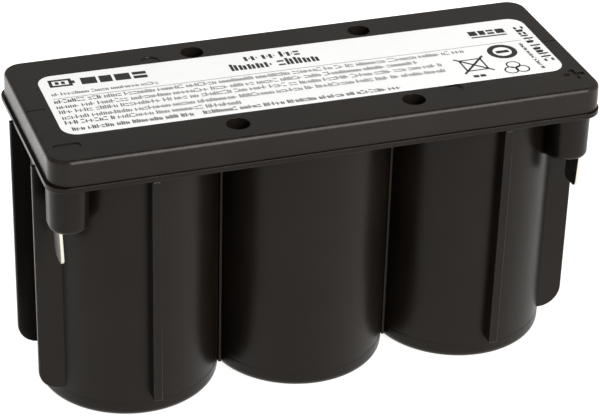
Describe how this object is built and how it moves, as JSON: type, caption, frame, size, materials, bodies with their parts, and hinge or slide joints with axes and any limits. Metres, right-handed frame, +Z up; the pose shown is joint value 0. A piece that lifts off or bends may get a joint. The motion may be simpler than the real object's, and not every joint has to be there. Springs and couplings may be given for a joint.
{
  "type": "sealed lead-acid battery block",
  "caption": "Sealed lead-acid battery block of round wells under a flat rectangular lid, with end fins, ribs and blade terminals pointing down from its front corners.",
  "frame": {"origin": "middle of the footprint, on the plane that the wells stand on", "axes": "+X along the row of cells from the negative to the positive terminal, +Y from the terminal side to the back, +Z up towards the lid"},
  "size_m": [0.1394, 0.054, 0.0762],
  "materials": {
    "case_plastic": "satin black moulded plastic with soft highlights",
    "lid_plastic": "satin black moulded plastic, finely grained on top",
    "seal_adhesive": "dull black adhesive bead",
    "label_film": null,
    "tinned_brass": "bright tin plating with fine draw lines",
    "cast_lead": "dull grey cast lead",
    "lead_dioxide": "porous dark brown paste",
    "sponge_lead": "porous grey paste",
    "glass_mat": "soft white glass mat",
    "cover_plastic": "grey moulded plastic",
    "valve_rubber": "dull black rubber",
    "potting_epoxy": "glossy dark red epoxy"
  },
  "bodies": {
    "block": {"case": "case_plastic", "cell_cover_1": "cover_plastic", "cell_cover_2": "cover_plastic", "cell_cover_3": "cover_plastic", "inner_separator_1": "glass_mat", "inner_separator_2": "glass_mat", "inner_separator_3": "glass_mat", "intercell_link_1": "cast_lead", "intercell_link_2": "cast_lead", "label": "label_film", "lid": "lid_plastic", "lid_seal": "seal_adhesive", "negative_plate_1": "sponge_lead", "negative_plate_2": "sponge_lead", "negative_plate_3": "sponge_lead", "negative_post_1": "cast_lead", "negative_post_2": "cast_lead", "negative_post_3": "cast_lead", "negative_post_seal_1": "valve_rubber", "negative_post_seal_2": "valve_rubber", "negative_post_seal_3": "valve_rubber", "negative_terminal": "tinned_brass", "negative_terminal_potting": "potting_epoxy", "outer_separator_1": "glass_mat", "outer_separator_2": "glass_mat", "outer_separator_3": "glass_mat", "positive_plate_1": "lead_dioxide", "positive_plate_2": "lead_dioxide", "positive_plate_3": "lead_dioxide", "positive_post_1": "cast_lead", "positive_post_2": "cast_lead", "positive_post_3": "cast_lead", "positive_post_seal_1": "valve_rubber", "positive_post_seal_2": "valve_rubber", "positive_post_seal_3": "valve_rubber", "positive_terminal": "tinned_brass", "positive_terminal_potting": "potting_epoxy"},
    "valve_1": {"relief_valve_1": "valve_rubber"},
    "valve_2": {"relief_valve_2": "valve_rubber"},
    "valve_3": {"relief_valve_3": "valve_rubber"}
  },
  "joints": [
    {"name": "valve_1_lift", "type": "slide", "parent": "block", "child": "valve_1", "axis": [0, 0, 1], "range_m": [0, 0.0008], "stiffness_N_per_m": 300, "springref_m": -0.005},
    {"name": "valve_2_lift", "type": "slide", "parent": "block", "child": "valve_2", "axis": [0, 0, 1], "range_m": [0, 0.0008], "stiffness_N_per_m": 300, "springref_m": -0.005},
    {"name": "valve_3_lift", "type": "slide", "parent": "block", "child": "valve_3", "axis": [0, 0, 1], "range_m": [0, 0.0008], "stiffness_N_per_m": 300, "springref_m": -0.005}
  ]
}
